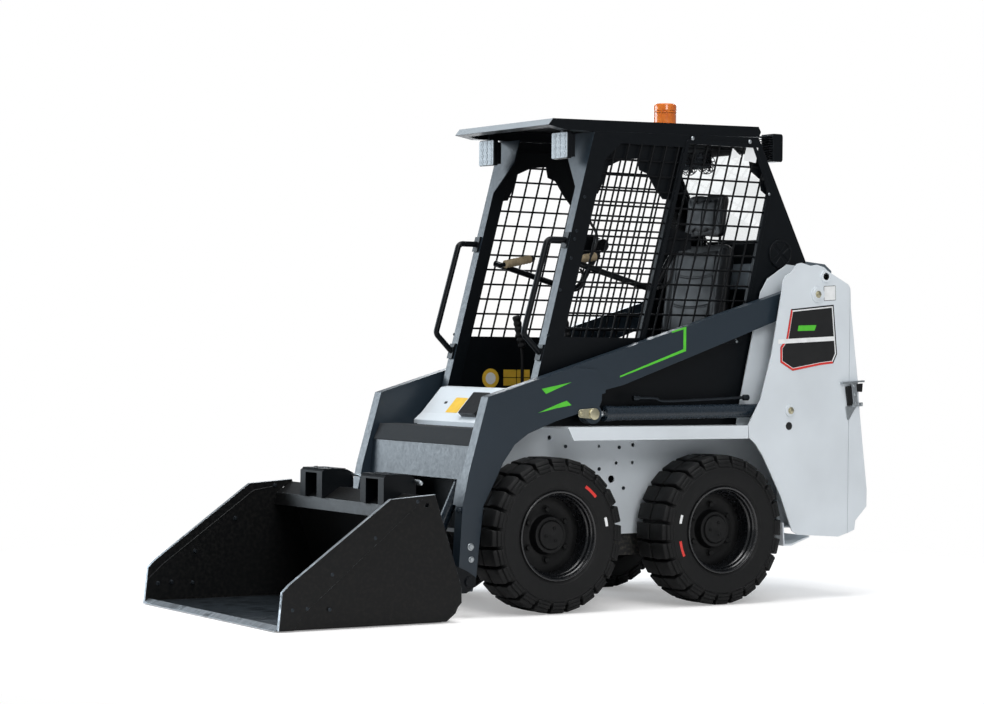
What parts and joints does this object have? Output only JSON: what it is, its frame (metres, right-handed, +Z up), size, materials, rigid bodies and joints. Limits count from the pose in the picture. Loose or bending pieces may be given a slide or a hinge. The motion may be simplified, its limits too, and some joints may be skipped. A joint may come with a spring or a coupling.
{
  "type": "skid steer loader",
  "caption": "Compact electric skid steer loader with a wire-mesh cab, vertical rear towers, lift arms, cylinders and a bucket.",
  "frame": {"origin": "on the ground under the middle of the overall length and width", "axes": "+X towards the machine's left side, -Y forwards to the bucket, +Z up"},
  "size_m": [1.126, 2.764, 2.0057],
  "materials": {
    "white_paint": "gloss",
    "grey_paint": "satin",
    "slate_paint": "satin",
    "black_paint": "satin",
    "black_wire": "satin",
    "bucket_paint": "satin",
    "worn_steel": "worn",
    "wheel_paint": "satin",
    "tyre_rubber": "matte",
    "tread_rubber": "matte",
    "grip_foam": "matte",
    "seat_vinyl": "satin",
    "amber_lens": "gloss",
    "battery_case": "matte",
    "cylinder_paint": "satin",
    "rod_chrome": "polished"
  },
  "bodies": {
    "chassis": {"hull": "white_paint", "fenders": "white_paint", "undercarriage": "black_paint", "tower_left": "white_paint", "tower_right": "white_paint", "axle_housings": "black_paint", "battery_block": "battery_case", "hood": "grey_paint", "cab_side_left": "black_paint", "cab_side_right": "black_paint", "mesh_left": "black_wire", "mesh_right": "black_wire", "cab_back": "black_paint", "mesh_rear": "black_wire", "cab_floor": "black_paint", "footwell_cover": "white_paint", "roof": "black_paint", "work_lamps": "black_paint", "beacon": "amber_lens", "rear_lamps": "black_paint", "seat_base": "black_paint", "seat_cushion": "seat_vinyl", "seat_back": "seat_vinyl", "head_rest": "seat_vinyl", "grab_handles": "black_paint", "levers": "black_paint", "fans": "black_paint", "pillar_gussets": "black_paint"},
    "lift_arms": {"arm_left": "slate_paint", "arm_right": "slate_paint", "arm_crossmember": "slate_paint", "step_pad": "tread_rubber"},
    "bucket": {"carrier": "black_paint", "carrier_hooks": "black_paint", "bucket_shell": "bucket_paint", "bucket_cheeks": "bucket_paint", "cutting_edge": "worn_steel"},
    "lift_barrels": {"lift_barrels": "cylinder_paint"},
    "lift_rods": {"lift_rods": "rod_chrome"},
    "tilt_barrels": {"tilt_barrels": "cylinder_paint"},
    "tilt_rods": {"tilt_rods": "rod_chrome"},
    "rear_door": {"rear_door": "white_paint", "door_latch": "worn_steel"},
    "lap_bar": {"lap_bar": "black_paint", "lap_grips": "grip_foam"},
    "wheel_fl": {"tyre_fl": "tyre_rubber", "rim_fl": "wheel_paint"},
    "wheel_fr": {"tyre_fr": "tyre_rubber", "rim_fr": "wheel_paint"},
    "wheel_rl": {"tyre_rl": "tyre_rubber", "rim_rl": "wheel_paint"},
    "wheel_rr": {"tyre_rr": "tyre_rubber", "rim_rr": "wheel_paint"}
  },
  "joints": [
    {"name": "arm_lift", "type": "hinge", "parent": "chassis", "child": "lift_arms", "pos_m": [0, 1.112, 1.23], "axis": [-1, 0, 0], "range_deg": [0, 70]},
    {"name": "bucket_tilt", "type": "hinge", "parent": "lift_arms", "child": "bucket", "pos_m": [0, -0.516, 0.133], "axis": [1, 0, 0], "range_deg": [-25, 110]},
    {"name": "lift_barrel_swing", "type": "hinge", "parent": "chassis", "child": "lift_barrels", "pos_m": [0, 0.977, 0.762], "axis": [-1, 0, 0], "range_deg": [0, 63.67]},
    {"name": "lift_rod_slide", "type": "slide", "parent": "lift_barrels", "child": "lift_rods", "axis": [0, -0.9999, -0.0107], "range_m": [0, 0.543]},
    {"name": "tilt_barrel_swing", "type": "hinge", "parent": "lift_arms", "child": "tilt_barrels", "pos_m": [0, -0.374, 0.645], "axis": [1, 0, 0], "range_deg": [-1.92, 6.76]},
    {"name": "tilt_rod_slide", "type": "slide", "parent": "tilt_barrels", "child": "tilt_rods", "axis": [0, -0.4315, -0.9021], "range_m": [-0.0407, 0.1722]},
    {"name": "rear_door_hinge", "type": "hinge", "parent": "chassis", "child": "rear_door", "pos_m": [-0.464, 1.277, 0.7], "axis": [0, 0, 1], "range_deg": [0, 100]},
    {"name": "lap_bar_hinge", "type": "hinge", "parent": "chassis", "child": "lap_bar", "pos_m": [0, 0.551, 1.43], "axis": [-1, 0, 0], "range_deg": [0, 55]},
    {"name": "wheel_fl_spin", "type": "hinge", "parent": "chassis", "child": "wheel_fl", "pos_m": [0.39, -0.149, 0.295], "axis": [1, 0, 0], "continuous": true},
    {"name": "wheel_fr_spin", "type": "hinge", "parent": "chassis", "child": "wheel_fr", "pos_m": [-0.39, -0.149, 0.295], "axis": [1, 0, 0], "continuous": true},
    {"name": "wheel_rl_spin", "type": "hinge", "parent": "chassis", "child": "wheel_rl", "pos_m": [0.39, 0.628, 0.295], "axis": [1, 0, 0], "continuous": true},
    {"name": "wheel_rr_spin", "type": "hinge", "parent": "chassis", "child": "wheel_rr", "pos_m": [-0.39, 0.628, 0.295], "axis": [1, 0, 0], "continuous": true}
  ],
  "couplings": [
    {"joint": "lift_barrel_swing", "follows": "arm_lift", "ratio": 0.9025},
    {"joint": "lift_rod_slide", "follows": "arm_lift", "m_per_rad": 0.44279},
    {"joint": "tilt_barrel_swing", "follows": "bucket_tilt", "ratio": 0.056893},
    {"joint": "tilt_rod_slide", "follows": "bucket_tilt", "m_per_rad": 0.088652}
  ]
}
